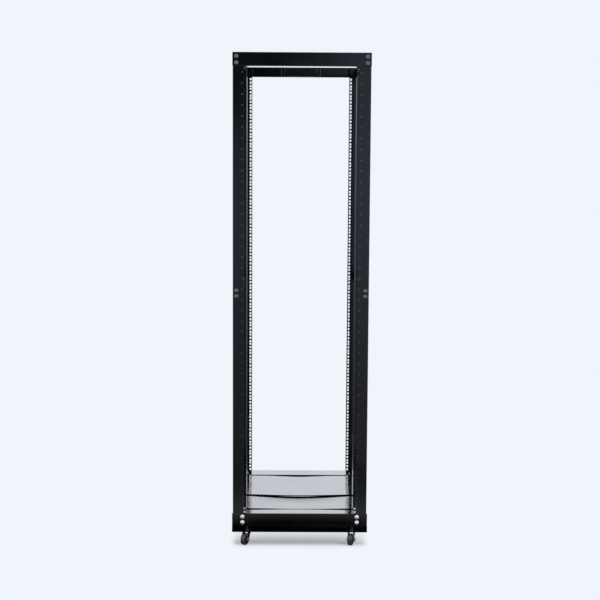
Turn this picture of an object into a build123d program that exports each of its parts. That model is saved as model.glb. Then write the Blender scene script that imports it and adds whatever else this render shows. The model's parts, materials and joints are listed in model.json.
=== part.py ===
from build123d import *
import math
import os

# Open frame rack with four posts, 42 rack units high, on four swivel casters.
# Millimetres. X points right, Y points to the rear and Z points up. The origin
# is on the floor, under the middle of the rack.

# Rack standard
RACK_UNITS = 42
UNIT = 44.45
UNIT_HOLES = (6.35, 22.225, 38.1)  # heights of the three holes in a unit
COLUMN_SPACING = 465.1             # between the two columns of a pair of posts
SQUARE_HOLE = 9.5
COLUMN_TO_EDGE = 7.55              # from a column to the inner edge of its post

# Sheet metal
SHEET = 2.0
BEND = 1.5           # bend radius at the middle of the sheet
PANEL_SHEET = 1.2
FIT_GAP = 0.3        # between sheets that slide or drop into each other

# Overall
RAIL_DEPTH = 740.0   # front mounting face to rear mounting face
BASE_OVERHANG = 3.0  # base past the posts, at each side
CASTER_HEIGHT = 60.0
CHANNEL_HEIGHT = 28.0
SKIRT_HEIGHT = 50.0  # face of a base beam, from the channel up to the deck

# Posts
POST_WIDTH = 58.0
POST_INNER_FLANGE = 76.0
POST_OUTER_FLANGE = 50.0

# Top bars
BAR_GAP = 3.1        # from the last unit up to the bar
BAR_HEIGHT = {"front": 55.5, "rear": 44.0}
BAR_FLANGE = 20.0
HAT_WIDTH = 140.0    # stiffener folded like a hat, on the rear top bar
HAT_SLOPE = 5.0
HAT_DEPTH = 10.0
HAT_FOOT = 16.0

# Base
CHANNEL_FRONT = 12.0  # the channel's lips in front of the mounting face
CHANNEL_REAR = 60.0   # and its web behind it
DECK_FLANGE = 88.0    # top flange of a base beam

# Side rails, each of two halves that slide into each other
MIDDLE_RAIL_HEIGHT = 48.0
TOP_RAIL_HEIGHT = 38.0
RAIL_FLANGE = 24.0
RAIL_TAB = 26.0       # end tab of a top or middle rail
BASE_TAB = 50.0       # end tab of a bottom rail
TAB_MARGIN = 1.5      # top tab, below the top of its post and above the underside of its bar
NUT_RELIEF = 24.0     # top rail's flanges start this far behind its tab, clear of the nuts
SLOT_LENGTH = 50.0
SLOT_WIDTH = 7.0
SLOT_MARGIN = 10.0     # from the last slot to the end of its rail
MIDDLE_HEIGHT = 937.0  # middle rail, above the bottom of unit 1

# Floor panels. Heights are of the underside, from the top of the base beams.
PANEL_SET_IN = 3.5         # from the outer faces of the side rails
PANEL_SIDE_GAP = 1.0       # to the posts
FRONT_PANEL_START = 66.0   # from the front mounting face
FRONT_PANEL_END = 310.0
FRONT_PANEL_CURL = 3.0     # its front corners stand up
FRONT_PANEL_SAG = 10.0     # its middle at its rear edge, below the side rails
REAR_PANEL_START = 292.0
REAR_PANEL_MARGIN = 40.0   # from the rear mounting face
REAR_PANEL_SAG = 5.0       # its middle at its front edge
REAR_PANEL_DIP = 2.4       # its middle at its rear edge
DIP_POWER = 8              # how narrow the dip at the rear edge is
HEM = 4.0                  # folded front edge of the rear panel

# Screws
SCREW_PITCH = 23.6
TOP_SCREW_RISE = {"front": 12.6, "rear": 11.0}  # lower screw, above the underside of its bar
TOP_SCREW_DROP = {"front": 17.0, "rear": 12.0}  # upper one, below the top of its bar
FRAME_SCREW = 8.0
FRAME_HEAD = 19.0
FRAME_HEAD_HEIGHT = 5.0
SCREW_CLEARANCE = 0.4     # hole over screw, on the diameter
THREAD_END = 1.5          # thread that stands out of a nut
NUT_WIDTH = 13.0
NUT_HEIGHT = 6.5
SIDE_SCREW_EDGE = 15.0     # from the outer edge of the post
BASE_SCREW_EDGE = 17.5     # from the inner edge of the post
BASE_SCREW_DROP = 15.0    # upper base screw, below the deck
TIE_SCREW_EDGE = 22.0      # from the inner edge of the post
TIE_SCREW_Y = 32.0        # behind the mounting face
SLIDE_SCREW = 6.0
SLIDE_HEAD = 12.0
SLIDE_HEAD_HEIGHT = 3.0
SLIDE_NUT_WIDTH = 10.0
SLIDE_NUT_HEIGHT = 5.0
SLIDE_SCREW_PITCH = 100.0

# Casters
CASTER_SET_IN = 2.0        # swivel axis inside the inner edge of the post
CASTER_Y = 22.0            # swivel axis behind the mounting face
STEM = 12.0
STEM_END = 4.0            # thread left above the nut
STEM_NUT_WIDTH = 18.0
STEM_NUT_HEIGHT = 10.0
STEM_WASHER = 24.0
STEM_WASHER_HEIGHT = 2.0
CAP = 34.0                # swivel cap under the channel
CAP_HEIGHT = 3.0
CAP_ROUNDING = 1.4
KINGPIN = 10.0
KINGPIN_HEAD = 16.0
KINGPIN_HEAD_HEIGHT = 1.2
RUNNING_FIT = 0.05        # radial, on the kingpin and on the axle
SWIVEL_GAP = 0.2          # above and below the crown of the fork
FORK_SHEET = 2.5
CROWN = 32.0
FORK_BACK = 11.0          # rear edge of the legs, behind the stem
FORK_FRONT = 15.0         # front edge of the legs at the crown
FORK_EYE = 18.0           # round end of a leg
TRAIL = 20.0
WHEEL = 50.0
WHEEL_WIDTH = 19.0
TYRE_WALL = 6.0
TYRE_ROUNDING = 4.0
TYRE_SEAT = 0.05          # radial, between the rim and the tyre
RIM_WIDTH = 17.0
RIM_WALL = 3.5
WEB = 6.0
HUB = 16.0
HUB_LENGTH = 21.0
HUB_GAP = 0.4             # hub to fork leg
AXLE = 8.0
AXLE_HEAD = 13.0
AXLE_HEAD_HEIGHT = 4.0
AXLE_NUT_HEIGHT = 6.0
# Heading of each caster at rest, in degrees. At 0 the wheel is in front of the stem.
HEADINGS = {"front_left": 26.0, "front_right": 16.0, "rear_left": 196.0, "rear_right": 206.0}

# Levels and faces worked out from the sizes above
ledge_z = CASTER_HEIGHT + CHANNEL_HEIGHT
deck_z = ledge_z + SKIRT_HEIGHT            # bottom of unit 1
bar_z = deck_z + RACK_UNITS * UNIT + BAR_GAP
inner_bend = BEND - SHEET / 2              # inside radius of a bend
bar_top = {end: bar_z + height for end, height in BAR_HEIGHT.items()}
post_top = {end: top - SHEET - 2 * inner_bend for end, top in bar_top.items()}
face_y = -RAIL_DEPTH / 2                   # front mounting face
half_opening = COLUMN_SPACING / 2 - COLUMN_TO_EDGE
post_edge = half_opening + POST_WIDTH
half_base = post_edge + BASE_OVERHANG
web_x = post_edge - SHEET - inner_bend     # outer face of a side rail
panel_width = 2 * (web_x - PANEL_SET_IN)
base_rail_height = SKIRT_HEIGHT - 2 * SHEET  # from the ledge up to the deck flange, less both sheets
side_screw_x = post_edge - SIDE_SCREW_EDGE
base_screw_x = half_opening + BASE_SCREW_EDGE
tie_screw_x = half_opening + TIE_SCREW_EDGE
caster_x = half_opening - CASTER_SET_IN
rail_z = {
    "bottom": ledge_z + SHEET + base_rail_height / 2,
    "middle": deck_z + MIDDLE_HEIGHT,
    "top": bar_z + BAR_HEIGHT["rear"] / 2,
}
rail_height = {"bottom": base_rail_height, "middle": MIDDLE_RAIL_HEIGHT, "top": TOP_RAIL_HEIGHT}
rail_overlap = SLIDE_SCREW_PITCH + SLOT_LENGTH + 2 * SLOT_MARGIN
base_screw_z = deck_z - BASE_SCREW_DROP
top_screw_z = {end: (bar_z + TOP_SCREW_RISE[end], bar_top[end] - TOP_SCREW_DROP[end]) for end in bar_top}
rim_radius = WHEEL / 2 - TYRE_WALL
leg_x = HUB_LENGTH / 2 + HUB_GAP           # inner face of a fork leg
crown_top = CASTER_HEIGHT - CAP_HEIGHT - SWIVEL_GAP
SIDES = {"left": -1, "right": 1}
ENDS = {"front": -1, "rear": 1}

BLACK = (0.05, 0.05, 0.06)
ZINC = (0.75, 0.76, 0.78)
RUBBER = (0.12, 0.12, 0.10)


def save(name, shape, colour):
    """Write one named sub-part to its own STEP file."""
    part = Compound(shape) if isinstance(shape, list) else shape
    part.label = name
    part.color = Color(*colour)
    export_step(part, f"parts/{name}.step")


def bent(points, plane, length):
    """A strip of sheet bent along points, which run through its middle."""
    return extrude(plane * trace(FilletPolyline(*points, radius=BEND), SHEET), length)


def to_corner(shape, side, end):
    """Turn the front right copy of a shape into the one of another corner."""
    if side < 0:
        shape = mirror(shape, about=Plane.YZ)
    if end > 0:
        shape = mirror(shape, about=Plane.XZ)
    return shape


def both_ends(shapes):
    """Copies of each end's right shapes, which were made at the front, at all four corners."""
    return [
        to_corner(shape, side, ENDS[end]).solid()
        for side in SIDES.values() for end in ENDS for shape in shapes[end]
    ]


def all_corners(shapes):
    """Copies of the front right shapes at all four corners."""
    return both_ends({end: shapes for end in ENDS})


def hole_cutters(places, screw, direction, reach=8 * SHEET):
    """Round cutters for screws, with their middles at places."""
    circle = Circle((screw + SCREW_CLEARANCE) / 2)
    return [extrude(Plane(p, z_dir=direction) * circle, reach / 2, both=True) for p in places]


def screw_places(level, end):
    """X, Z of the frame screws of one level, at the right corner of one end."""
    if level == "bottom":
        return [(base_screw_x, base_screw_z), (base_screw_x, base_screw_z - SCREW_PITCH)]
    if level == "middle":
        return [(side_screw_x, rail_z["middle"] + s * SCREW_PITCH / 2) for s in (-1, 1)]
    return [(side_screw_x, z) for z in top_screw_z[end]]


def face_holes(end, *levels):
    """Cutters for the frame screws of one end's right corner, moved to the front."""
    places = [(x, face_y, z) for level in levels for x, z in screw_places(level, end)]
    return hole_cutters(places, FRAME_SCREW, (0, 1, 0))


def both_sides(cutters):
    return [to_corner(cutter, side, -1) for side in SIDES.values() for cutter in cutters]


def dome_screw(screw, head, head_height, seat, outward, grip):
    """A domed screw whose head sits on seat. Its shank is grip long."""
    radius = (head**2 / 4 + head_height**2) / (2 * head_height)
    shoulder = math.sqrt(radius**2 - head**2 / 16) - radius + head_height
    arc = ThreePointArc((head / 2, 0), (head / 4, shoulder), (0, head_height))
    half = make_face(arc + Polyline((0, head_height), (0, 0), (head / 2, 0)))
    dome = revolve(Plane.XZ * half, Axis.Z)
    return Plane(seat, z_dir=outward) * (dome + extrude(Circle(screw / 2), -grip))


def hex_nut(width, height, screw, seat, outward):
    """A hexagon nut that stands on seat."""
    ring = RegularPolygon(width / 2, 6, major_radius=False)
    ring -= Circle((screw + SCREW_CLEARANCE) / 2)
    return extrude(Plane(seat, z_dir=outward) * ring, height)


def make_post(end):
    """Right post of one end, at the front: a folded channel with square holes and a foot plate."""
    middle = SHEET / 2
    outline = [
        (half_opening + middle, face_y + POST_INNER_FLANGE),
        (half_opening + middle, face_y + middle),
        (post_edge - middle, face_y + middle),
        (post_edge - middle, face_y + POST_OUTER_FLANGE),
    ]
    post = bent(outline, Plane.XY.offset(ledge_z), post_top[end] - ledge_z)
    corner = (Align.MIN, Align.MIN, Align.MIN)
    foot = Box(POST_WIDTH - SHEET, POST_OUTER_FLANGE - middle, SHEET, align=corner)
    post += Pos(half_opening + middle, face_y + middle, ledge_z) * foot
    heights = [deck_z + unit * UNIT + hole for unit in range(RACK_UNITS) for hole in UNIT_HOLES]
    square = Rectangle(SQUARE_HOLE, SQUARE_HOLE)
    squares = Sketch() + [Pos(COLUMN_SPACING / 2, z) * square for z in heights]
    wall = Plane((0, face_y, 0), x_dir=(1, 0, 0), z_dir=(0, -1, 0))
    post -= extrude(wall * squares, 2 * SHEET, both=True)
    tie = (tie_screw_x, face_y + TIE_SCREW_Y, ledge_z)
    return post - face_holes(end, "bottom", "middle", "top") - hole_cutters([tie], FRAME_SCREW, (0, 0, 1))


def make_top_bar(end):
    """Top bar of one end, at the front: its lower flange is only between the posts."""
    half = post_edge + SHEET / 2
    low, high = bar_z + SHEET / 2, bar_top[end] - SHEET / 2
    front, back = face_y - SHEET / 2, face_y + BAR_FLANGE
    outline = [(back, low), (front, low), (front, high), (back, high)]
    bar = bent(outline, Plane.YZ.offset(-half), 2 * half)
    corner = (Align.MIN, Align.MIN, Align.CENTER)
    notch = Box(POST_WIDTH + 4 * SHEET, BAR_FLANGE + SHEET, 3 * SHEET, align=corner)
    notch = Pos(half_opening - FIT_GAP, face_y, bar_z) * notch
    return bar - both_sides([notch] + face_holes(end, "top"))


def make_stiffener():
    """Sheet folded like a hat, on the inner side of the rear top bar."""
    foot_y = -face_y - SHEET / 2
    crest_y = foot_y - HAT_DEPTH
    crest, foot = HAT_WIDTH / 2, HAT_WIDTH / 2 + HAT_SLOPE
    outline = [
        (-foot - HAT_FOOT, foot_y), (-foot, foot_y), (-crest, crest_y),
        (crest, crest_y), (foot, foot_y), (foot + HAT_FOOT, foot_y),
    ]
    gap = SHEET + 2 * inner_bend
    return bent(outline, Plane.XY.offset(bar_z + gap), BAR_HEIGHT["rear"] - 2 * gap)


def make_base_beam():
    """Front base beam: a face across the posts, and a top flange between them."""
    front, flange_z = face_y - SHEET / 2, deck_z - SHEET / 2
    outline = [(front, ledge_z), (front, flange_z), (face_y + DECK_FLANGE, flange_z)]
    beam = bent(outline, Plane.YZ.offset(-half_base), 2 * half_base)
    corner = (Align.MIN, Align.MIN, Align.CENTER)
    notch = Box(half_base, DECK_FLANGE + SHEET, 3 * SHEET, align=corner)
    notch = Pos(half_opening - FIT_GAP, face_y, deck_z) * notch
    return beam - both_sides([notch] + face_holes("front", "bottom"))


def make_base_channel():
    """Front base channel, open to the front, with closed ends. It stands on the casters."""
    low, high = CASTER_HEIGHT + SHEET / 2, ledge_z - SHEET / 2
    front, back = face_y - CHANNEL_FRONT, face_y + CHANNEL_REAR
    outline = [(front, high), (back, high), (back, low), (front, low)]
    channel = bent(outline, Plane.YZ.offset(-half_base), 2 * half_base)
    corner = (Align.MAX, Align.MIN, Align.MIN)
    plate = Box(SHEET, CHANNEL_FRONT + CHANNEL_REAR, CHANNEL_HEIGHT - SHEET, align=corner)
    channel += both_sides([Pos(half_base, front, low) * plate])
    stem = (caster_x, face_y + CASTER_Y, CASTER_HEIGHT)
    tie = (tie_screw_x, face_y + TIE_SCREW_Y, ledge_z)
    cutters = hole_cutters([stem], STEM, (0, 0, 1)) + hole_cutters([tie], FRAME_SCREW, (0, 0, 1))
    return channel - both_sides(cutters)


def make_rail_half(level, end):
    """Right half of a side rail. The rear half is the smaller one and slides in the front one."""
    tab = BASE_TAB if level == "bottom" else RAIL_TAB
    inset = 0 if end == "front" else SHEET
    half_height = rail_height[level] / 2 - (0 if end == "front" else SHEET + FIT_GAP)
    low, high = rail_z[level] - half_height + SHEET / 2, rail_z[level] + half_height - SHEET / 2
    web, lip = web_x - inset - SHEET / 2, web_x - RAIL_FLANGE
    outline = [(lip, high), (web, high), (web, low), (lip, low)]
    start, length = face_y + SHEET, -face_y - SHEET + rail_overlap / 2
    plane = Plane((0, start, 0), x_dir=(1, 0, 0), z_dir=(0, -1, 0))
    rail = bent(outline, plane, -length)
    tab_low, tab_high = low, high
    if level == "top":
        tab_low, tab_high = bar_z + TAB_MARGIN, post_top[end] - TAB_MARGIN
        corner = (Align.MIN, Align.MIN, Align.CENTER)
        relief = Box(web - SHEET - lip, NUT_RELIEF, 3 * half_height, align=corner)
        rail -= Pos(lip, start, rail_z[level]) * relief
    corner = (Align.MAX, Align.MIN, Align.MIN)
    plate = Box(tab - inset - SHEET / 2, SHEET, tab_high - tab_low, align=corner)
    rail += Pos(web, start, tab_low) * plate
    rail -= face_holes(end, level)
    if end == "front":
        places = [(web_x, s * SLIDE_SCREW_PITCH / 2, rail_z[level]) for s in (-1, 1)]
        return rail - hole_cutters(places, SLIDE_SCREW, (1, 0, 0), 2 * RAIL_FLANGE)
    slot = SlotOverall(SLOT_LENGTH, SLOT_WIDTH)
    free_length = -face_y - POST_OUTER_FLANGE - SLIDE_SCREW_PITCH / 2
    count = int(free_length // SLIDE_SCREW_PITCH) + 2
    places = [(0.5 - n) * SLIDE_SCREW_PITCH for n in range(count)]
    side = Plane((web_x, 0, rail_z[level]), x_dir=(0, 1, 0), z_dir=(1, 0, 0))
    slots = Sketch() + [Pos(y, 0) * slot for y in places]
    return mirror(rail - extrude(side * slots, 3 * SHEET, both=True), about=Plane.XZ)


def sagging_face(start, end, height):
    """Upper face of a panel from Y start to end. Its underside is height(x share, y) high."""
    steps = range(7)
    points = [
        [
            Vector(panel_width * (n / 6 - 0.5), y, deck_z + height(n / 3 - 1, y) + PANEL_SHEET)
            for n in steps
        ]
        for y in [start + (end - start) * step / 6 for step in steps]
    ]
    return Face.make_surface_from_array_of_points(points)


def front_panel_height(u, y):
    """Front panel: curled up at its front corners, and sagging at its rear edge."""
    first, last = face_y + FRONT_PANEL_START, face_y + FRONT_PANEL_END
    flange_end = face_y + DECK_FLANGE
    rail_top = rail_z["bottom"] + base_rail_height / 2 - deck_z
    side = FRONT_PANEL_CURL + (rail_top - FRONT_PANEL_CURL) * (y - first) / (last - first)
    side += FIT_GAP
    share = max(0.0, (y - flange_end) / (last - flange_end))
    middle = (rail_top - FRONT_PANEL_SAG) * share**2
    return side - (side - middle) * (1 - u**2)**2


def rear_panel_height(u, y):
    """Rear panel: over the front panel at its front edge, under the rear beam at its rear one."""
    first, last = face_y + REAR_PANEL_START, -face_y - REAR_PANEL_MARGIN
    share = (y - first) / (last - first)
    lap = front_panel_height(1, first) + HEM + FIT_GAP
    rail_top = rail_z["bottom"] + base_rail_height / 2 - SHEET - FIT_GAP - deck_z
    side = lap + (rail_top - lap) * share
    sag = REAR_PANEL_SAG + (REAR_PANEL_DIP - REAR_PANEL_SAG) * share
    power = 2 + (DIP_POWER - 2) * share
    return side - sag * (1 - u**2)**power


def panel_notches():
    """Cutters for the posts, which the floor panels pass between."""
    reach = POST_INNER_FLANGE + PANEL_SIDE_GAP
    corner = (Align.MIN, Align.MIN, Align.CENTER)
    notch = Box(panel_width, reach, 10 * SHEET, align=corner)
    notch = Pos(half_opening - PANEL_SIDE_GAP, face_y, deck_z) * notch
    return all_corners([notch])


def make_front_panel():
    start, end = face_y + FRONT_PANEL_START, face_y + FRONT_PANEL_END
    face = sagging_face(start, end, front_panel_height)
    return extrude(face, PANEL_SHEET, dir=(0, 0, -1)) - panel_notches()


def make_rear_panel():
    """Rear panel, with a folded hem along its front edge."""
    start, end = face_y + REAR_PANEL_START, -face_y - REAR_PANEL_MARGIN
    face = sagging_face(start, end, rear_panel_height)
    corner = (Align.CENTER, Align.MIN, Align.CENTER)
    edge = Pos(0, start, deck_z) * Box(panel_width, PANEL_SHEET, 20 * SHEET, align=corner)
    hem = extrude(face, HEM, dir=(0, 0, -1)) & edge
    return (extrude(face, PANEL_SHEET, dir=(0, 0, -1)) + hem) - panel_notches()


def make_screws(level):
    """Four pairs of frame screws of one level."""
    bar = SHEET if level != "middle" else 0
    grip = bar + 2 * SHEET + NUT_HEIGHT + THREAD_END
    size = (FRAME_SCREW, FRAME_HEAD, FRAME_HEAD_HEIGHT)
    return both_ends({
        end: [dome_screw(*size, (x, face_y - bar, z), (0, -1, 0), grip) for x, z in screw_places(level, end)]
        for end in ENDS
    })


def make_frame_nuts():
    seat_y = face_y + 2 * SHEET
    size = (NUT_WIDTH, NUT_HEIGHT, FRAME_SCREW)
    return both_ends({
        end: [
            hex_nut(*size, (x, seat_y, z), (0, 1, 0))
            for level in rail_z for x, z in screw_places(level, end)
        ]
        for end in ENDS
    })


def make_tie_screws():
    """Screws that tie the posts to the base channels, from inside the channels."""
    seat = (tie_screw_x, face_y + TIE_SCREW_Y, ledge_z - SHEET)
    grip = 2 * SHEET + NUT_HEIGHT + THREAD_END
    screw = dome_screw(FRAME_SCREW, FRAME_HEAD, FRAME_HEAD_HEIGHT, seat, (0, 0, -1), grip)
    return all_corners([screw])


def make_tie_nuts():
    seat = (tie_screw_x, face_y + TIE_SCREW_Y, ledge_z + SHEET)
    return all_corners([hex_nut(NUT_WIDTH, NUT_HEIGHT, FRAME_SCREW, seat, (0, 0, 1))])


def slide_places():
    return [(s * SLIDE_SCREW_PITCH / 2, z) for s in (-1, 1) for z in rail_z.values()]


def make_slide_screws():
    """Screws that lock the halves of the side rails."""
    grip = 2 * SHEET + SLIDE_NUT_HEIGHT + THREAD_END
    screws = [
        dome_screw(SLIDE_SCREW, SLIDE_HEAD, SLIDE_HEAD_HEIGHT, (web_x, y, z), (1, 0, 0), grip)
        for y, z in slide_places()
    ]
    return [to_corner(screw, side, -1).solid() for side in SIDES.values() for screw in screws]


def make_slide_nuts():
    seat_x = web_x - 2 * SHEET
    nuts = [
        hex_nut(SLIDE_NUT_WIDTH, SLIDE_NUT_HEIGHT, SLIDE_SCREW, (seat_x, y, z), (-1, 0, 0))
        for y, z in slide_places()
    ]
    return [to_corner(item, side, -1).solid() for side in SIDES.values() for item in nuts]


def make_stem_washers():
    ring = Circle(STEM_WASHER / 2) - Circle((STEM + SCREW_CLEARANCE) / 2)
    place = Pos(caster_x, face_y + CASTER_Y, CASTER_HEIGHT + SHEET)
    return all_corners([place * extrude(ring, STEM_WASHER_HEIGHT)])


def make_stem_nuts():
    seat = (caster_x, face_y + CASTER_Y, CASTER_HEIGHT + SHEET + STEM_WASHER_HEIGHT)
    return all_corners([hex_nut(STEM_NUT_WIDTH, STEM_NUT_HEIGHT, STEM, seat, (0, 0, 1))])


def make_stem():
    """Threaded stem, swivel cap and kingpin of a caster, on the Z axis."""
    top = CASTER_HEIGHT + SHEET + STEM_WASHER_HEIGHT + STEM_NUT_HEIGHT + STEM_END
    cap_z = CASTER_HEIGHT - CAP_HEIGHT
    pin_end = crown_top - FORK_SHEET - SWIVEL_GAP
    stem = Pos(0, 0, cap_z) * extrude(Circle(STEM / 2), top - cap_z)
    cap = Pos(0, 0, cap_z) * extrude(Circle(CAP / 2), CAP_HEIGHT)
    cap = fillet(cap.edges(), CAP_ROUNDING)
    pin = Pos(0, 0, pin_end) * extrude(Circle(KINGPIN / 2), cap_z - pin_end)
    head = Pos(0, 0, pin_end) * extrude(Circle(KINGPIN_HEAD / 2), -KINGPIN_HEAD_HEIGHT)
    return stem + cap + pin + head


def make_fork():
    """Fork folded from one sheet: a round crown and two legs that taper to the axle."""
    wheel_z, eye = WHEEL / 2, FORK_EYE / 2
    side_x = leg_x + FORK_SHEET / 2
    crown_z = crown_top - FORK_SHEET / 2
    outline = [
        (-side_x, wheel_z - FORK_EYE), (-side_x, crown_z),
        (side_x, crown_z), (side_x, wheel_z - FORK_EYE),
    ]
    strip = trace(FilletPolyline(*outline, radius=FORK_SHEET), FORK_SHEET)
    sheet = extrude(Plane.XZ * strip, WHEEL, both=True)
    head = Polyline((FORK_BACK, crown_top - FORK_SHEET), (FORK_BACK, crown_top), (-FORK_FRONT, crown_top))
    side = make_hull((Pos(-TRAIL, wheel_z) * Circle(eye)).edges() + head.edges())
    fork = sheet & extrude(Plane.YZ * side, WHEEL, both=True)
    fork += Pos(0, 0, crown_top) * extrude(Circle(CROWN / 2), -FORK_SHEET)
    fork -= Pos(0, 0, CASTER_HEIGHT) * extrude(Circle(KINGPIN / 2 + RUNNING_FIT), -WHEEL / 2)
    axle_line = Plane((0, -TRAIL, wheel_z), z_dir=(1, 0, 0))
    return fork - extrude(axle_line * Circle(AXLE / 2 + RUNNING_FIT), WHEEL, both=True)


def make_axle():
    """Axle screw from the left and its nut on the right."""
    line = (-TRAIL, WHEEL / 2)
    side = leg_x + FORK_SHEET
    grip = 2 * side + AXLE_NUT_HEIGHT + THREAD_END
    screw = dome_screw(AXLE, AXLE_HEAD, AXLE_HEAD_HEIGHT, (-side, *line), (-1, 0, 0), grip)
    return [screw, hex_nut(NUT_WIDTH, AXLE_NUT_HEIGHT, AXLE, (side, *line), (1, 0, 0))]


def wheel_ring(profile):
    """Turn a profile of (radius, across) about the axle."""
    turned = revolve(Plane.XZ * profile, Axis.Z)
    return Plane((0, -TRAIL, WHEEL / 2), z_dir=(1, 0, 0)) * turned


def make_hub():
    """Wheel core: hub, web and rim in one moulding."""
    bore = AXLE / 2 + RUNNING_FIT
    rim = Pos(rim_radius - RIM_WALL / 2, 0) * Rectangle(RIM_WALL, RIM_WIDTH)
    web = Pos((bore + rim_radius) / 2, 0) * Rectangle(rim_radius - bore, WEB)
    hub = Pos((bore + HUB / 2) / 2, 0) * Rectangle(HUB / 2 - bore, HUB_LENGTH)
    return wheel_ring(rim + web + hub)


def make_tyre():
    """Rubber tyre with rounded shoulders."""
    inner = rim_radius + TYRE_SEAT
    ring = Pos((inner + WHEEL / 2) / 2, 0) * Rectangle(WHEEL / 2 - inner, WHEEL_WIDTH)
    shoulders = ring.vertices().group_by(Axis.X)[-1]
    return wheel_ring(fillet(shoulders, TYRE_ROUNDING))


def save_caster(place, side, end):
    """One caster, turned to its heading under its corner of the base."""
    heading = Pos(side * caster_x, end * (-face_y - CASTER_Y), 0) * Rot(0, 0, -HEADINGS[place])
    save(f"caster_stem_{place}", heading * make_stem(), ZINC)
    save(f"caster_fork_{place}", heading * make_fork(), ZINC)
    save(f"caster_axle_{place}", [(heading * piece).solid() for piece in make_axle()], ZINC)
    save(f"caster_hub_{place}", heading * make_hub(), BLACK)
    save(f"caster_tyre_{place}", heading * make_tyre(), RUBBER)


os.makedirs("parts", exist_ok=True)

base_beam, base_channel = make_base_beam(), make_base_channel()
for end_name, end in ENDS.items():
    post, top_bar = make_post(end_name), make_top_bar(end_name)
    save(f"top_bar_{end_name}", to_corner(top_bar, 1, end), BLACK)
    save(f"base_beam_{end_name}", to_corner(base_beam, 1, end), BLACK)
    save(f"base_channel_{end_name}", to_corner(base_channel, 1, end), BLACK)
    for side_name, side in SIDES.items():
        save(f"post_{end_name}_{side_name}", to_corner(post, side, end), BLACK)
        save_caster(f"{end_name}_{side_name}", side, end)
    for level in rail_z:
        half = make_rail_half(level, end_name)
        for side_name, side in SIDES.items():
            save(f"{level}_rail_{end_name}_{side_name}", to_corner(half, side, -1), BLACK)

save("top_bar_stiffener", make_stiffener(), BLACK)
save("floor_panel_front", make_front_panel(), BLACK)
save("floor_panel_rear", make_rear_panel(), BLACK)
for level in rail_z:
    save(f"{level}_screws", make_screws(level), ZINC)
save("frame_nuts", make_frame_nuts(), ZINC)
save("tie_screws", make_tie_screws(), ZINC)
save("tie_nuts", make_tie_nuts(), ZINC)
save("slide_screws", make_slide_screws(), ZINC)
save("slide_nuts", make_slide_nuts(), ZINC)
save("stem_washers", make_stem_washers(), ZINC)
save("stem_nuts", make_stem_nuts(), ZINC)
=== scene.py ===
import bpy
import bmesh
import json
import math
from mathutils import Matrix, Vector


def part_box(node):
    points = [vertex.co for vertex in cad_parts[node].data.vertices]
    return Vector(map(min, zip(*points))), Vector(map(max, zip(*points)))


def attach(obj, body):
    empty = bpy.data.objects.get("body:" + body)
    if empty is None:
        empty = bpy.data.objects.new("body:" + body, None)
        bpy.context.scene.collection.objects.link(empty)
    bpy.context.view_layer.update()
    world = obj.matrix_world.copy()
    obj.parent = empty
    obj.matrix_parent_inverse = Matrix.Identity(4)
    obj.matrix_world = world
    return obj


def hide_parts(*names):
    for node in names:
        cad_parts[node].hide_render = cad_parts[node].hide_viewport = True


# Dresses the open frame rack: finishes, screws, nuts, threads, printed unit numbers, floor and light.
# Metres. X points right, Y to the rear, Z up.

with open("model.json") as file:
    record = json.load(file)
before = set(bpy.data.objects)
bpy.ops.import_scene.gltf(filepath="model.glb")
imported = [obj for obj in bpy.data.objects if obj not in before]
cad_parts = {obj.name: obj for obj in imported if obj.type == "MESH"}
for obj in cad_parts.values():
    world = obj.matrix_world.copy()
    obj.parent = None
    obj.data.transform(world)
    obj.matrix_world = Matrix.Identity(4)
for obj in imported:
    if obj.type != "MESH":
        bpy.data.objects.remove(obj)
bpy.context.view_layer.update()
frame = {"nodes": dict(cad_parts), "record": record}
scene = bpy.context.scene
nodes = frame["nodes"]
print("rack loaded:", len(nodes), "nodes")


# Camera

cameraSettings = {
    "place": (-0.039, -5.576, 1.642),
    "yaw": 0.393,
    "pitch": -6.498,
    "roll": 0.323,
    "lens": 75.6,
    "sensor": 36,
}


def makeCamera(s):
    data = bpy.data.cameras.new("camera")
    data.lens = s["lens"]
    data.sensor_width = s["sensor"]
    camera = bpy.data.objects.new("camera", data)
    scene.collection.objects.link(camera)
    turn = Matrix.Rotation(math.radians(-s["yaw"]), 4, "Z")
    turn = turn @ Matrix.Rotation(math.radians(90 + s["pitch"]), 4, "X")
    turn = turn @ Matrix.Rotation(math.radians(s["roll"]), 4, "Z")
    camera.matrix_world = Matrix.Translation(s["place"]) @ turn
    scene.camera = camera


makeCamera(cameraSettings)
print("camera placed")


# Shader helpers

def newMaterial(name):
    material = bpy.data.materials.new(name)
    material.use_nodes = True
    material.node_tree.nodes.clear()
    return material, material.node_tree


def addNode(tree, kind, inputs=None, **values):
    node = tree.nodes.new(kind)
    for key, value in values.items():
        setattr(node, key, value)
    for key, value in (inputs or {}).items():
        if isinstance(value, bpy.types.NodeSocket):
            tree.links.new(value, node.inputs[key])
        else:
            node.inputs[key].default_value = value
    return node


def mathNode(tree, operation, a, b=0.0):
    return addNode(tree, "ShaderNodeMath", {0: a, 1: b}, operation=operation).outputs[0]


def mapRange(tree, value, low, high, toLow, toHigh, smooth=False):
    node = addNode(tree, "ShaderNodeMapRange", {
        "Value": value, "From Min": low, "From Max": high, "To Min": toLow, "To Max": toHigh,
    })
    node.interpolation_type = "SMOOTHSTEP" if smooth else "LINEAR"
    return node.outputs["Result"]


def noise(tree, place, scale, detail=3.0):
    node = addNode(tree, "ShaderNodeTexNoise", {"Vector": place, "Scale": scale, "Detail": detail})
    return node.outputs["Fac"]


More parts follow.
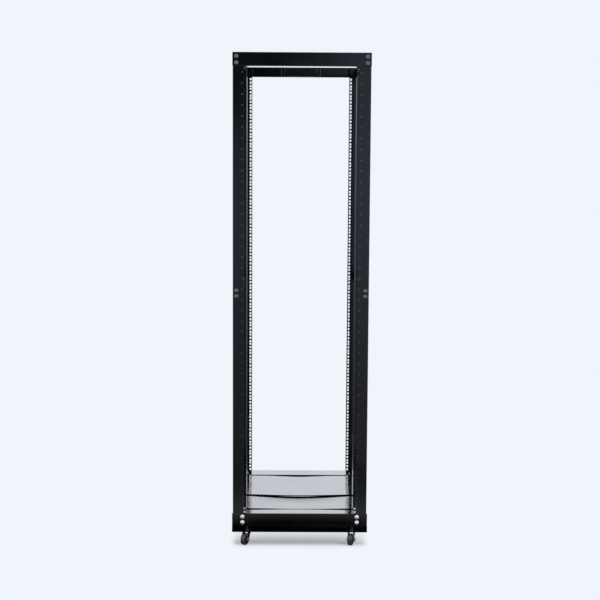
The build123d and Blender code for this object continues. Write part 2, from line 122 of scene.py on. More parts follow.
def mixColour(tree, factor, a, b):
    node = addNode(tree, "ShaderNodeMix", data_type="RGBA")
    for key, value in (("Factor", factor), ("A", a), ("B", b)):
        socket = next(i for i in node.inputs if i.name == key and (key == "Factor" or i.type == "RGBA"))
        if isinstance(value, bpy.types.NodeSocket):
            tree.links.new(value, socket)
        else:
            socket.default_value = (*value, 1) if isinstance(value, tuple) else value
    return next(o for o in node.outputs if o.type == "RGBA")


# Tones at stops along a value. The ramp holds 0 to 1, so the highest tone is multiplied back in.
def toneRamp(tree, value, stops):
    low, high, peak = stops[0][0], stops[-1][0], max(tone for place, tone in stops)
    ramp = addNode(tree, "ShaderNodeValToRGB", {"Fac": mapRange(tree, value, low, high, 0, 1)})
    elements = ramp.color_ramp.elements
    while len(elements) < len(stops):
        elements.new(0.5)
    for element, (place, tone) in zip(elements, stops):
        element.position = (place - low) / (high - low)
        element.color = (tone / peak, tone / peak, tone / peak, 1)
    return mathNode(tree, "MULTIPLY", ramp.outputs["Color"], peak)


# Finishes. Two groups are shared: grain gives every finish its cloudy tone, uneven gloss and fine bumps,
# and the edge group finds edges, which get a lighter colour: partly wear, where a coat is thin or a metal
# polished, and partly a painted highlight for the light a rounded edge would catch.

grainSettings = {"cloudRange": (0.3, 0.7), "fineDetail": 1.0, "bumpDistance": 0.0002}
edgeSettings = {"samples": 4, "maskRange": (0.98, 0.8)}


def newGroup(name, inputs, outputs):
    group = bpy.data.node_groups.new(name, "ShaderNodeTree")
    for socketName, kind, value in inputs:
        socket = group.interface.new_socket(socketName, in_out="INPUT", socket_type=kind)
        if value is not None:
            socket.default_value = value
    for socketName, kind in outputs:
        group.interface.new_socket(socketName, in_out="OUTPUT", socket_type=kind)
    return group, group.nodes.new("NodeGroupInput"), group.nodes.new("NodeGroupOutput")


def makeGrainGroup(s):
    number, vector = "NodeSocketFloat", "NodeSocketVector"
    inputs = [("Place", vector, None), ("Cloud Scale", number, 10.0), ("Rough Low", number, 0.2),
              ("Rough High", number, 0.3), ("Grain Scale", number, 900.0), ("Grain Depth", number, 0.1)]
    outputs = [("Cloud", number), ("Roughness", number), ("Normal", vector)]
    group, start, end = newGroup("grain", inputs, outputs)
    o = start.outputs
    cloud = noise(group, o["Place"], o["Cloud Scale"])
    rough = mapRange(group, cloud, *s["cloudRange"], o["Rough Low"], o["Rough High"])
    fine = noise(group, o["Place"], o["Grain Scale"], s["fineDetail"])
    bump = addNode(group, "ShaderNodeBump", {
        "Strength": o["Grain Depth"], "Distance": s["bumpDistance"], "Height": fine,
    })
    group.links.new(cloud, end.inputs["Cloud"])
    group.links.new(rough, end.inputs["Roughness"])
    group.links.new(bump.outputs["Normal"], end.inputs["Normal"])
    return group


# The edge mask marks edges for a lighter colour: worn edges, and a painted highlight where a rounded edge
# would catch light.
def makeEdgeGroup(s):
    number = "NodeSocketFloat"
    group, start, end = newGroup("edgeHighlightAndWearMask", [("Width", number, 0.0004)], [("Mask", number)])
    rounded = addNode(group, "ShaderNodeBevel", {"Radius": start.outputs["Width"]}, samples=s["samples"])
    plain = addNode(group, "ShaderNodeNewGeometry")
    normals = {0: rounded.outputs["Normal"], 1: plain.outputs["Normal"]}
    dot = addNode(group, "ShaderNodeVectorMath", normals, operation="DOT_PRODUCT")
    mask = mapRange(group, dot.outputs["Value"], *s["maskRange"], 0.0, 1.0, smooth=True)
    group.links.new(mask, end.inputs["Mask"])
    return group


grainGroup, edgeHighlightAndWearGroup = makeGrainGroup(grainSettings), makeEdgeGroup(edgeSettings)

finishSettings = {
    "powderCoat": {
        "dark": (0.0012, 0.0012, 0.0013), "light": (0.0022, 0.0022, 0.0024), "edge": (0.02, 0.02, 0.021),
        "cloud": 9.0, "rough": (0.1, 0.15), "grain": 900.0, "depth": 0.04, "edgeWidth": 0.0005,
    },
    # The stiffener's coat: the wide, pale edge colour along its folds is a painted highlight where the bends
    # would catch light.
    "foldedCoat": {
        "dark": (0.0014, 0.0014, 0.0015), "light": (0.0024, 0.0024, 0.0026), "edge": (0.5, 0.5, 0.52),
        "cloud": 9.0, "rough": (0.1, 0.15), "grain": 900.0, "depth": 0.04, "edgeWidth": 0.0018,
    },
    "blackScrew": {
        "dark": (0.1, 0.1, 0.104), "light": (0.15, 0.15, 0.155), "edge": (0.3, 0.3, 0.3), "metallic": 0.9,
        "cloud": 80.0, "rough": (0.16, 0.24), "grain": 900.0, "depth": 0.05, "edgeWidth": 0.0003,
    },
    "zinc": {
        "dark": (0.62, 0.63, 0.65), "light": (0.8, 0.81, 0.83), "edge": (0.88, 0.88, 0.88), "metallic": 1.0,
        "cloud": 120.0, "rough": (0.32, 0.46), "grain": 1500.0, "depth": 0.1, "edgeWidth": 0.0003,
    },
    "brightPlate": {
        "dark": (0.88, 0.89, 0.9), "light": (0.96, 0.96, 0.97), "edge": (0.97, 0.97, 0.97), "metallic": 0.35,
        "cloud": 120.0, "rough": (0.2, 0.28), "grain": 1500.0, "depth": 0.03, "edgeWidth": 0.0003,
    },
    "darkSteel": {
        "dark": (0.1, 0.1, 0.1), "light": (0.17, 0.17, 0.17), "edge": (0.4, 0.4, 0.4), "metallic": 1.0,
        "cloud": 90.0, "rough": (0.24, 0.34), "grain": 1500.0, "depth": 0.05, "edgeWidth": 0.0004,
    },
    "wheelCore": {
        "dark": (0.012, 0.012, 0.012), "light": (0.02, 0.02, 0.02), "edge": (0.04, 0.04, 0.04),
        "cloud": 60.0, "rough": (0.35, 0.45), "grain": 1800.0, "depth": 0.2, "edgeWidth": 0.0004,
    },
    "tyre": {
        "dark": (0.05, 0.046, 0.038), "light": (0.085, 0.079, 0.066), "edge": (0.11, 0.1, 0.085),
        "cloud": 70.0, "rough": (0.4, 0.55), "grain": 1800.0, "depth": 0.3, "edgeWidth": 0.0004,
    },
    "numberInk": {
        "dark": (0.1, 0.1, 0.1), "light": (0.16, 0.16, 0.16), "edge": (0.16, 0.16, 0.16),
        "cloud": 200.0, "rough": (0.4, 0.5), "grain": 900.0, "depth": 0.02, "edgeWidth": 0.0001,
    },
}


def makeFinish(name, s):
    material, tree = newMaterial(name)
    place = addNode(tree, "ShaderNodeTexCoord").outputs["Object"]
    grain = addNode(tree, "ShaderNodeGroup", node_tree=grainGroup)
    tree.links.new(place, grain.inputs["Place"])
    roughLow, roughHigh = s["rough"]
    for key, value in (("Cloud Scale", s["cloud"]), ("Rough Low", roughLow), ("Rough High", roughHigh),
                       ("Grain Scale", s["grain"]), ("Grain Depth", s["depth"])):
        grain.inputs[key].default_value = value
    edge = addNode(tree, "ShaderNodeGroup", node_tree=edgeHighlightAndWearGroup)
    edge.inputs["Width"].default_value = s["edgeWidth"]
    coat = mixColour(tree, grain.outputs["Cloud"], s["dark"], s["light"])
    # Edges take the edge colour: partly wear, partly a painted edge highlight.
    colour = mixColour(tree, edge.outputs["Mask"], coat, s["edge"])
    shader = addNode(tree, "ShaderNodeBsdfPrincipled", {
        "Base Color": colour, "Roughness": grain.outputs["Roughness"], "Normal": grain.outputs["Normal"],
        "Metallic": s.get("metallic", 0.0),
    })
    out = addNode(tree, "ShaderNodeOutputMaterial")
    tree.links.new(shader.outputs[0], out.inputs["Surface"])
    return material


finishes = {name: makeFinish(name, s) for name, s in finishSettings.items()}
slotFinish = {"powder_coat": "powderCoat", "black_screw": "blackScrew", "zinc": "zinc",
              "wheel_core": "wheelCore", "tyre": "tyre"}
# The stiffener gets the coat with painted highlights along its folds.
ownFinish = {"top_bar_stiffener": "foldedCoat", "bottom_screws": "brightPlate",
             "stem_nuts": "darkSteel", "stem_washers": "darkSteel"}
darkSteelStarts = ("caster_stem", "caster_fork")
nodeFinish = {}
for part in frame["record"]["subparts"]:
    node = part["node"]
    name = ownFinish.get(node, slotFinish[part["material_slot"]])
    nodeFinish[node] = finishes["darkSteel" if node.startswith(darkSteelStarts) else name]
for name, finish in nodeFinish.items():
    for place in nodes[name].material_slots:
        place.material = finish
print("finishes made:", len(finishes))


# Geometry node helpers

def newTree(name, inputs):
    tree = bpy.data.node_groups.new(name, "GeometryNodeTree")
    kinds = {"Geometry": "NodeSocketGeometry", "Object": "NodeSocketObject", "Material": "NodeSocketMaterial",
             "Float": "NodeSocketFloat", "Int": "NodeSocketInt"}
    tree.interface.new_socket("Geometry", in_out="INPUT", socket_type=kinds["Geometry"])
    for socketName, kind in inputs:
        tree.interface.new_socket(socketName, in_out="INPUT", socket_type=kinds[kind])
    tree.interface.new_socket("Geometry", in_out="OUTPUT", socket_type=kinds["Geometry"])
    return tree, tree.nodes.new("NodeGroupInput"), tree.nodes.new("NodeGroupOutput")


def activeOutput(node):
    return next(out for out in node.outputs if out.enabled)


# A thread: a three-sided ridge wound round the Z axis, from the origin up, or down if the height is negative
def coil(tree, radius, turns, height, ridgeRadius, steps, caps=True):
    spiral = addNode(tree, "GeometryNodeCurveSpiral", {
        "Resolution": steps, "Rotations": turns, "Height": height,
        "Start Radius": radius, "End Radius": radius,
    })
    ridge = addNode(tree, "GeometryNodeCurvePrimitiveCircle", {"Resolution": 3, "Radius": ridgeRadius})
    thread = addNode(tree, "GeometryNodeCurveToMesh", {
        "Curve": spiral.outputs[0], "Profile Curve": ridge.outputs[0], "Fill Caps": caps,
    })
    return thread.outputs[0]


def joined(tree, shapes):
    join = addNode(tree, "GeometryNodeJoinGeometry")
    for shape in shapes:
        tree.links.new(shape, join.inputs[0])
    return join.outputs[0]


# Turns a shape by the angle about its own Z, then points that Z where its seat faces
def seatRotation(tree, angle):
    facing = addNode(tree, "GeometryNodeInputNamedAttribute", {"Name": "facing"}, data_type="FLOAT_VECTOR")
    spin = addNode(tree, "FunctionNodeAxisAngleToRotation", {"Axis": (0, 0, 1), "Angle": angle})
    turned = {"Rotation": spin.outputs[0], "Vector": activeOutput(facing)}
    return addNode(tree, "FunctionNodeAlignRotationToVector", turned, axis="Z").outputs[0]


def placeOnSeats(tree, start, end, shape, rotation=None):
    points = addNode(tree, "GeometryNodeMeshToPoints", {"Mesh": start.outputs["Geometry"]})
    placed = addNode(tree, "GeometryNodeInstanceOnPoints", {"Points": points.outputs[0], "Instance": shape})
    if rotation is not None:
        tree.links.new(rotation, placed.inputs["Rotation"])
    real = addNode(tree, "GeometryNodeRealizeInstances", {0: placed.outputs[0]})
    painted = addNode(tree, "GeometryNodeSetMaterial", {
        "Geometry": real.outputs[0], "Material": start.outputs["Material"],
    })
    tree.links.new(painted.outputs[0], end.inputs[0])


def bakeModifier(piece, modifier):
    bpy.context.view_layer.update()
    mesh = bpy.data.meshes.new_from_object(piece.evaluated_get(bpy.context.evaluated_depsgraph_get()))
    piece.modifiers.remove(modifier)
    piece.data = mesh


def runTree(piece, tree, values):
    modifier = piece.modifiers.new("build", "NODES")
    modifier.node_group = tree
    for item in tree.interface.items_tree:
        if item.in_out == "INPUT" and item.name in values:
            modifier[item.identifier] = values[item.name]
    bakeModifier(piece, modifier)


def newPiece(name, data):
    piece = bpy.data.objects.new(name, data)
    scene.collection.objects.link(piece)
    return piece


def meshPiece(name, mesh):
    data = bpy.data.meshes.new(name)
    mesh.to_mesh(data)
    mesh.free()
    return newPiece(name, data)


def seatCloud(name, seats):
    mesh = bpy.data.meshes.new(name)
    mesh.from_pydata([place for place, facing in seats], [], [])
    facings = mesh.attributes.new("facing", "FLOAT_VECTOR", "POINT")
    for item, (place, facing) in zip(facings.data, seats):
        item.vector = facing
    return newPiece(name, mesh)


# The low and high corner of each separate solid in a node, in a fixed order
def solidBoxes(nodeName):
    mesh = bmesh.new()
    mesh.from_mesh(nodes[nodeName].data)
    bmesh.ops.remove_doubles(mesh, verts=mesh.verts, dist=1e-6)
    left, boxes = set(mesh.verts), []
    while left:
        island, edgeOfIsland = set(), {left.pop()}
        while edgeOfIsland:
            vert = edgeOfIsland.pop()
            island.add(vert)
            edgeOfIsland |= {edge.other_vert(vert) for edge in vert.link_edges} - island
        left -= island
        low = Vector(min(v.co[i] for v in island) for i in range(3))
        high = Vector(max(v.co[i] for v in island) for i in range(3))
        boxes.append((low, high))
    mesh.free()
    return sorted(boxes, key=lambda box: tuple(round(c, 4) for c in box[0]))


# A direction along one axis. Without a sign it points away from the middle of the rack.
def facingOf(low, high, axis, sign=None):
    facing = Vector((0, 0, 0))
    facing[axis] = sign or (1 if (low + high)[axis] > 0 else -1)
    return facing


def applyCut(body, cutter, operation):
    modifier = body.modifiers.new("cut", "BOOLEAN")
    modifier.object, modifier.operation, modifier.solver = cutter, operation, "EXACT"
    bakeModifier(body, modifier)
    bpy.data.objects.remove(cutter)


def revolved(name, profile, segments):
    mesh = bmesh.new()
    rings = []
    for radius, height in profile:
        if radius == 0:
            rings.append([mesh.verts.new((0, 0, height))])
        else:
            angles = [2 * math.pi * n / segments for n in range(segments)]
            places = [(radius * math.cos(a), radius * math.sin(a), height) for a in angles]
            rings.append([mesh.verts.new(place) for place in places])
    for lower, upper in zip(rings, rings[1:]):
        below, above = len(lower), len(upper)
        for n in range(segments):
            m = (n + 1) % segments
            corners = [lower[n % below], lower[m % below], upper[m % above], upper[n % above]]
            mesh.faces.new(list(dict.fromkeys(corners)))
    bmesh.ops.recalc_face_normals(mesh, faces=mesh.faces)
    for face in mesh.faces:
        face.smooth = True
    return meshPiece(name, mesh)


# Screws: domed heads with a cross recess, and a threaded shank. Each takes its seat from its solid.
# Nodes are (name, kind, axis, which way the head faces, or None for outward).
# Shares hold counts, and parts of the sizes in a kind.

screwSettings = {
    "nodes": (("bottom_screws", "frame", 1, None), ("middle_screws", "frame", 1, None),
              ("top_screws", "frame", 1, None), ("slide_screws", "slide", 0, None),
              ("tie_screws", "frame", 2, -1)),
    "frame": {"headHeight": 0.005, "radius": 0.004, "pitch": 0.00125,
              "recess": 0.0075, "slot": 0.0016, "recessDepth": 0.003},
    "slide": {"headHeight": 0.003, "radius": 0.003, "pitch": 0.001,
              "recess": 0.005, "slot": 0.0011, "recessDepth": 0.0019},
    "shares": {
        "segments": 32, "rings": 7, "rim": 0.98, "slotTop": 1.2, "slotFootLength": 0.35, "slotFootWidth": 0.6,
        "core": 0.9, "coreSides": 20, "ridgeRadius": 0.93, "ridge": 0.35, "threaded": 0.96, "steps": 20,
    },
}


def makeSlot(name, s, shares, turn):
    top, low = s["headHeight"] * shares["slotTop"], s["headHeight"] - s["recessDepth"]
    mesh = bmesh.new()
    box = bmesh.ops.create_cube(mesh, size=1.0)["verts"]
    for vert in box:
        upper = vert.co.z > 0
        length = s["recess"] * (1.0 if upper else shares["slotFootLength"])
        width = s["slot"] * (1.0 if upper else shares["slotFootWidth"])
        vert.co = (vert.co.x * length, vert.co.y * width, top if upper else low)
    bmesh.ops.rotate(mesh, verts=box, matrix=Matrix.Rotation(turn, 3, "Z"))
    return meshPiece(name, mesh)


def makeHead(name, diameter, s, shares):
    height, rings = s["headHeight"], shares["rings"]
    radius = (diameter**2 / 4 + height**2) / (2 * height)
    reach = math.asin(diameter / 2 / radius)
    arc = [reach * (1 - n / rings) for n in range(rings + 1)]
    dome = [(radius * math.sin(a), height - radius * (1 - math.cos(a))) for a in arc]
    dome[-1] = (0, height)
    head = revolved(name, [(0, 0), (diameter / 2 * shares["rim"], 0)] + dome, shares["segments"])
    for turn in (0, math.pi / 2):
        applyCut(head, makeSlot(name + "Slot", s, shares, turn), "DIFFERENCE")
    return head


def makeScrewTree(shares):
    inputs = [("Head", "Object"), ("Shank Radius", "Float"), ("Shank Length", "Float"), ("Pitch", "Float"),
              ("Seed", "Int"), ("Material", "Material")]
    tree, start, end = newTree("screws", inputs)
    radius, length, pitch = (start.outputs[key] for key in ("Shank Radius", "Shank Length", "Pitch"))
    head = addNode(tree, "GeometryNodeObjectInfo", {"Object": start.outputs["Head"]})
    coreRadius = mathNode(tree, "MULTIPLY", radius, shares["core"])
    core = addNode(tree, "GeometryNodeMeshCylinder", {
        "Vertices": shares["coreSides"], "Radius": coreRadius, "Depth": length,
    })
    drop = addNode(tree, "ShaderNodeCombineXYZ", {"Z": mathNode(tree, "MULTIPLY", length, -0.5)})
    lowered = addNode(tree, "GeometryNodeTransform", {
        "Geometry": core.outputs["Mesh"], "Translation": drop.outputs[0],
    })
    turns = mathNode(tree, "DIVIDE", mathNode(tree, "MULTIPLY", length, shares["threaded"]), pitch)
    ridgeRadius = mathNode(tree, "MULTIPLY", radius, shares["ridgeRadius"])
    ridge = mathNode(tree, "MULTIPLY", pitch, shares["ridge"])
    height = mathNode(tree, "MULTIPLY", length, -shares["threaded"])
    thread = coil(tree, ridgeRadius, turns, height, ridge, shares["steps"])
    screw = joined(tree, (thread, lowered.outputs[0], head.outputs["Geometry"]))
    chance = addNode(tree, "FunctionNodeRandomValue", {"Seed": start.outputs["Seed"]}, data_type="FLOAT")
    angle = mathNode(tree, "MULTIPLY", activeOutput(chance), 2 * math.pi)
    placeOnSeats(tree, start, end, screw, seatRotation(tree, angle))
    return tree


def makeScrews(nodeName, kind, axis, sign, seed):
    s = screwSettings[kind]
    boxes = solidBoxes(nodeName)
    low, high = boxes[0]
    diameter = (high - low)[(axis + 1) % 3]
    length = (high - low)[axis] - s["headHeight"]
    seats = []
    for low, high in boxes:
        facing = facingOf(low, high, axis, sign)
        seats.append(((low + high) / 2 + facing * ((high - low)[axis] / 2 - s["headHeight"]), facing))
    head = makeHead(nodeName + "Head", diameter, s, screwSettings["shares"])
    piece = seatCloud(nodeName + "_detailed", seats)
    runTree(piece, screwTree, {"Head": head, "Shank Radius": s["radius"], "Shank Length": length,
                               "Pitch": s["pitch"], "Seed": seed, "Material": nodeFinish[nodeName]})
    bpy.data.objects.remove(head)
    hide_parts(nodeName)
    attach(piece, "frame")


screwTree = makeScrewTree(screwSettings["shares"])
for seed, (nodeName, kind, axis, sign) in enumerate(screwSettings["nodes"]):
    makeScrews(nodeName, kind, axis, sign, seed)
print("screws made")


# Nuts: hexagons with turned corners and a threaded bore, whose corners point where their solids' do.
# The corner axis is where a corner points before the nut is spun.

nutSettings = {
    "nodes": {
        "frame_nuts": {"axis": 1, "cornerAxis": 0, "bore": 0.0041, "pitch": 0.00125},
        "tie_nuts": {"axis": 2, "cornerAxis": 0, "bore": 0.0041, "pitch": 0.00125},
        "slide_nuts": {"axis": 0, "cornerAxis": 2, "bore": 0.0031, "pitch": 0.001},
        "stem_nuts": {"axis": 2, "cornerAxis": 0, "bore": 0.0061, "pitch": 0.00175},
    },
    "shares": {
        "face": 0.97, "barrel": 1.02, "slope": 30, "barrelSides": 36, "boreSides": 24, "over": 0.2,
        "ridge": 0.3, "steps": 20,
    },
}


def makeNut(name, width, height, bore, shares):
    corner = width / math.sqrt(3)
    body = revolved(name, [(0, 0), (corner, 0), (corner, height), (0, height)], 6)
    inner = width / 2 * shares["face"]
    outer = corner * shares["barrel"]
    slope = (corner - inner) * math.tan(math.radians(shares["slope"]))
    barrel = [(0, 0), (inner, 0), (outer, slope), (outer, height - slope), (inner, height), (0, height)]
    applyCut(body, revolved(name + "Barrel", barrel, shares["barrelSides"]), "INTERSECT")
    over = height * shares["over"]
    hole = [(0, -over), (bore, -over), (bore, height + over), (0, height + over)]
    applyCut(body, revolved(name + "Bore", hole, shares["boreSides"]), "DIFFERENCE")
    body.data.polygons.foreach_set("use_smooth", [False] * len(body.data.polygons))
    return body


def makeNutTree(shares):
    inputs = [("Nut", "Object"), ("Bore", "Float"), ("Height", "Float"), ("Pitch", "Float"),
              ("Spin", "Float"), ("Material", "Material")]
    tree, start, end = newTree("nuts", inputs)
    o = start.outputs
    nut = addNode(tree, "GeometryNodeObjectInfo", {"Object": o["Nut"]})
    turns = mathNode(tree, "DIVIDE", o["Height"], o["Pitch"])
    ridgeRadius = mathNode(tree, "MULTIPLY", o["Pitch"], shares["ridge"])
    thread = coil(tree, o["Bore"], turns, o["Height"], ridgeRadius, shares["steps"], caps=False)
    threaded = joined(tree, (thread, nut.outputs["Geometry"]))
    placeOnSeats(tree, start, end, threaded, seatRotation(tree, o["Spin"]))
    return tree


def makeNuts(nodeName, s):
    axis = s["axis"]
    boxes = solidBoxes(nodeName)
    size = boxes[0][1] - boxes[0][0]
    others = [i for i in range(3) if i != axis]
    width = min(size[i] for i in others)
    wide = max(others, key=lambda i: size[i])
    facing = facingOf(*boxes[0], axis, 1)
    seats = [((low + high) / 2 - facing * size[axis] / 2, facing) for low, high in boxes]
    spin = 0.0 if wide == s["cornerAxis"] else math.pi / 6
    nut = makeNut(nodeName + "Nut", width, size[axis], s["bore"], nutSettings["shares"])
    piece = seatCloud(nodeName + "_detailed", seats)
    runTree(piece, nutTree, {"Nut": nut, "Bore": s["bore"], "Height": size[axis], "Pitch": s["pitch"],
                             "Spin": spin, "Material": nodeFinish[nodeName]})
    bpy.data.objects.remove(nut)
    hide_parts(nodeName)
    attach(piece, "frame")


nutTree = makeNutTree(nutSettings["shares"])
for nodeName, s in nutSettings["nodes"].items():
    makeNuts(nodeName, s)
print("nuts made")


# Threads on the caster stems, over their plain shanks, from the nuts' lower faces to near the stems' tops

stemThreadSettings = {
    "pitch": 0.00175, "radius": 0.006, "stand": 0.0003, "ridge": 0.4, "below": 0.6, "steps": 24,
}


def makeStemThreads(s):
    tree, start, end = newTree("stemThreads", [("Length", "Float"), ("Material", "Material")])
    length = start.outputs["Length"]
    turns = mathNode(tree, "DIVIDE", length, s["pitch"])
    ridge = s["pitch"] * s["ridge"]
    thread = coil(tree, s["radius"] + s["stand"] - ridge, turns, length, ridge, s["steps"])
    placeOnSeats(tree, start, end, thread)
    up = Vector((0, 0, 1))
    seats = [((low + high) / 2 - up * (high - low)[2] / 2, up) for low, high in solidBoxes("stem_nuts")]
    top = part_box("caster_stem_front_left")[1][2] - s["pitch"] * s["below"]
    piece = seatCloud("stem_threads", seats)
    runTree(piece, tree, {"Length": top - seats[0][0].z, "Material": finishes["darkSteel"]})
    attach(piece, "frame")


makeStemThreads(stemThreadSettings)
print("stem threads made")


# Printed unit numbers beside the hole columns, 1 at the bottom

numberSettings = {"unit": 0.04445, "units": 42, "column": 0.23255, "outboard": 0.0115, "size": 0.0075,
                  "lift": 0.00008, "curveSteps": 2}


def numberMesh(number, s):
    curve = bpy.data.curves.new("number", "FONT")
    curve.body = str(number)
    curve.size = s["size"]
    curve.align_x, curve.align_y = "CENTER", "CENTER"
    curve.resolution_u = s["curveSteps"]
    curve.extrude = s["lift"] / 2
    text = newPiece("number", curve)
    bpy.context.view_layer.update()
    mesh = bpy.data.meshes.new_from_object(text.evaluated_get(bpy.context.evaluated_depsgraph_get()))
    bpy.data.objects.remove(text)
    return mesh


def makeNumbers(s):
    mounts = {mount["name"]: mount for mount in frame["record"]["mounts"]}
    meshes = [numberMesh(number + 1, s) for number in range(s["units"])]
    stand = Matrix.Rotation(math.pi / 2, 4, "X")
    for end, turn in (("front", 0), ("rear", math.pi)):
        face = Vector(mounts[end + "_rack_holes"]["pos_m"])
        outward = Vector(mounts[end + "_rack_holes"]["axis"])
        for side, sign in (("left", -1), ("right", 1)):
            whole = bmesh.new()
            for number, mesh in enumerate(meshes):
                height = face.z + (number + 0.5 - s["units"] / 2) * s["unit"]
                place = Vector((sign * (s["column"] + s["outboard"]), face.y, height)) + outward * s["lift"]
                first = len(whole.verts)
                whole.from_mesh(mesh)
                whole.verts.ensure_lookup_table()
                matrix = Matrix.Translation(place) @ Matrix.Rotation(turn, 4, "Z") @ stand
                bmesh.ops.transform(whole, matrix=matrix, verts=whole.verts[first:])
            piece = meshPiece(f"unit_numbers_{end}_{side}", whole)
            piece.data.materials.append(finishes["numberInk"])
            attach(piece, "frame")
    for mesh in meshes:
        bpy.data.meshes.remove(mesh)


makeNumbers(numberSettings)
print("unit numbers printed")


# Floor. The camera sees it in the backdrop's own tone, except in the soft shadow under the base.
# Reflections see a painted floor light, a glow by distance from the rack's foot: painted shade near the foot,
# a painted brighter ring beyond it, dimmer further out and behind the rack.
# Pairs are (where, tone): the shadow's along Y, the painted light's along that distance.

floorSettings = {
    "pale": (0.871, 0.913, 0.965),
    "size": 3.6,
    "shadowSides": (0.265, 0.302),
    "shadowShare": [(-0.43, 0.0), (-0.387, 0.3), (-0.344, 0.75), (-0.284, 0.5), (-0.18, 0.14), (-0.11, 0.14),
                    (-0.03, 0.9), (0.3, 0.95), (0.43, 0.0)],
    "shadowed": (0.8, 0.832, 0.88),
    # Painted floor light, seen only in reflections: none near the rack as painted shade, then a painted
    # brighter ring and a dimmer floor beyond.
    "paintedFloorLight": [(0.0, 0.0), (0.73, 0.0), (0.78, 0.15), (0.84, 0.4), (0.92, 0.68), (1.2, 0.3), (1.6, 0.2)],
    "mirrorFade": (-0.3, 0.3),
    "paintedFloorLightBehind": 0.35,
}


def makeFloor(s):
    half = s["size"] / 2
    corners = [(-half, -half, 0), (half, -half, 0), (half, half, 0), (-half, half, 0)]
    mesh = bpy.data.meshes.new("floor")
    mesh.from_pydata(corners, [], [(0, 1, 2, 3)])
    floor = newPiece("floor", mesh)
    material, tree = newMaterial("floor")
    place = addNode(tree, "ShaderNodeTexCoord").outputs["Object"]
    split = addNode(tree, "ShaderNodeSeparateXYZ", {0: place})
    aside = mathNode(tree, "ABSOLUTE", split.outputs["X"])
    within = mapRange(tree, aside, *s["shadowSides"], 1.0, 0.0, smooth=True)
    share = mathNode(tree, "MULTIPLY", within, toneRamp(tree, split.outputs["Y"], s["shadowShare"]))
    path = addNode(tree, "ShaderNodeLightPath")
    glossy = path.outputs["Is Glossy Ray"]
    seen = mathNode(tree, "MAXIMUM", path.outputs["Is Camera Ray"], path.outputs["Is Transmission Ray"])
    distance = addNode(tree, "ShaderNodeVectorMath", {0: place}, operation="LENGTH").outputs["Value"]
    behind = mapRange(tree, split.outputs["Y"], *s["mirrorFade"], 1.0, s["paintedFloorLightBehind"])
    # Glossy rays see the painted floor light: painted shade near the rack, a painted brighter ring further
    # out, dimmed behind the rack.
    paintedReflection = mathNode(tree, "MULTIPLY", toneRamp(tree, distance, s["paintedFloorLight"]), behind)
    strength = mathNode(tree, "ADD", seen, mathNode(tree, "MULTIPLY", paintedReflection, glossy))
    glow = addNode(tree, "ShaderNodeEmission", {"Color": (*s["pale"], 1), "Strength": strength})
    matt = addNode(tree, "ShaderNodeBsdfDiffuse", {"Color": (*s["shadowed"], 1)})
    shareSeen = mathNode(tree, "MULTIPLY", share, mathNode(tree, "SUBTRACT", 1.0, glossy))
    mix = addNode(tree, "ShaderNodeMixShader", {"Fac": shareSeen, 1: glow.outputs[0], 2: matt.outputs[0]})
    out = addNode(tree, "ShaderNodeOutputMaterial")
    tree.links.new(mix.outputs[0], out.inputs["Surface"])
    mesh.materials.append(material)


makeFloor(floorSettings)


# Surroundings. The camera sees the pale backdrop, and diffuse light the even fill. Reflections see tones by
# direction, in pairs (where, tone): the front and rear tones go by Z, the side tones by X, shared out by Z.

worldSettings = {
    "fill": 0.75,
    "frontTone": [(-0.3, 0.27), (-0.19, 0.24), (-0.13, 0.36), (-0.065, 0.48), (0.0, 0.4), (0.02, 0.25),
                  (0.042, 0.05), (0.06, 0.01), (0.35, 0.01)],
    "sideTone": [(0.0, 0.0), (0.02, 0.1), (0.034, 0.25), (0.042, 0.45), (0.05, 0.6), (0.3, 1.2)],
    "sideShare": [(-0.3, 0.3), (-0.2, 0.2), (-0.1, 0.2), (0.0, 0.6), (0.04, 1.0), (0.1, 1.1)],
    "wideTone": 1.2,
    "wideFrom": (0.3, 0.5),
    "rearTone": [(-0.5, 0.02), (-0.25, 0.03), (-0.12, 0.16), (-0.03, 0.25), (0.02, 0.42), (0.07, 0.5),
                 (0.14, 1.2), (0.22, 2.15), (0.26, 2.25), (0.29, 2.6), (0.4, 2.6), (0.6, 1.0)],
    "rearSide": [(-0.07, 0.4), (-0.045, 0.45), (-0.015, 1.0), (0.1, 1.0)],
    "rearSideBelow": (0.12, 0.2),
    "rearFrom": (-0.2, 0.2),
    "tint": {"range": (-0.27, -0.18), "low": (1.12, 1.0, 0.97), "high": (0.86, 1.0, 1.3),
             "rear": (0.98, 1.0, 1.08)},
}


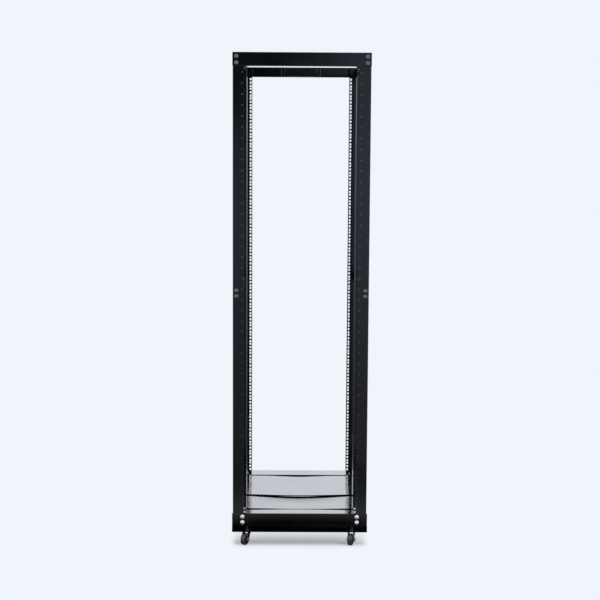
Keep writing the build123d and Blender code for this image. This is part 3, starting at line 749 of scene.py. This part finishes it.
def makeWorld(s, pale):
    world = bpy.data.worlds.new("studio")
    scene.world = world
    world.use_nodes = True
    tree = world.node_tree
    tree.nodes.clear()
    direction = addNode(tree, "ShaderNodeTexCoord").outputs["Generated"]
    split = addNode(tree, "ShaderNodeSeparateXYZ", {0: direction})
    x, y, z = split.outputs
    sideGlow = mathNode(tree, "MULTIPLY", toneRamp(tree, x, s["sideTone"]), toneRamp(tree, z, s["sideShare"]))
    narrow = mathNode(tree, "ADD", toneRamp(tree, z, s["frontTone"]), sideGlow)
    facing = mathNode(tree, "ABSOLUTE", y)
    offAxis = mathNode(tree, "SQRT", mathNode(tree, "SUBTRACT", 1.0, mathNode(tree, "POWER", facing, 2.0)))
    wide = mapRange(tree, offAxis, *s["wideFrom"], 0.0, 1.0, smooth=True)
    front = mixColour(tree, wide, narrow, (s["wideTone"],) * 3)
    above = mapRange(tree, z, *s["rearSideBelow"], 0.0, 1.0)
    dim = mathNode(tree, "MAXIMUM", toneRamp(tree, x, s["rearSide"]), above)
    rear = mathNode(tree, "MULTIPLY", toneRamp(tree, z, s["rearTone"]), dim)
    behind = mapRange(tree, y, *s["rearFrom"], 0.0, 1.0, smooth=True)
    grey = mixColour(tree, behind, front, rear)
    tint = s["tint"]
    frontTint = mixColour(tree, mapRange(tree, z, *tint["range"], 0, 1), tint["low"], tint["high"])
    allTints = mixColour(tree, mathNode(tree, "MAXIMUM", behind, wide), frontTint, tint["rear"])
    tinted = addNode(tree, "ShaderNodeVectorMath", {0: grey, 1: allTints}, operation="MULTIPLY")
    path = addNode(tree, "ShaderNodeLightPath")
    seen = mixColour(tree, path.outputs["Is Glossy Ray"], (s["fill"],) * 3, tinted.outputs["Vector"])
    direct = mathNode(tree, "MAXIMUM", path.outputs["Is Camera Ray"], path.outputs["Is Transmission Ray"])
    background = addNode(tree, "ShaderNodeBackground", {"Color": mixColour(tree, direct, seen, pale)})
    out = addNode(tree, "ShaderNodeOutputWorld")
    tree.links.new(background.outputs[0], out.inputs["Surface"])


makeWorld(worldSettings, floorSettings["pale"])


# Lamps

lampSettings = {
    "overhead": {"place": (0.0, -0.4, 4.6), "aim": (0, 0, 0), "size": (3.2, 3.2), "power": 60},
    "rear": {"place": (0.0, 5.5, 2.2), "aim": (0, 0, 0.3), "size": (5.0, 2.4), "power": 70},
    "side": {"place": (3.0, -3.0, 3.2), "aim": (0, 0, 0.8), "size": (1.4, 1.4), "power": 60},
}


def makeLamp(name, s):
    data = bpy.data.lights.new(name, "AREA")
    data.shape = "RECTANGLE"
    data.size, data.size_y = s["size"]
    data.energy = s["power"]
    lamp = bpy.data.objects.new(name, data)
    scene.collection.objects.link(lamp)
    aim = Vector(s["aim"]) - Vector(s["place"])
    lamp.matrix_world = Matrix.Translation(s["place"]) @ aim.to_track_quat("-Z", "Y").to_matrix().to_4x4()
    lamp.visible_camera = False
    lamp.visible_glossy = False


for name, s in lampSettings.items():
    makeLamp(name, s)
scene.view_settings.view_transform = "Standard"
print("stage and light set")
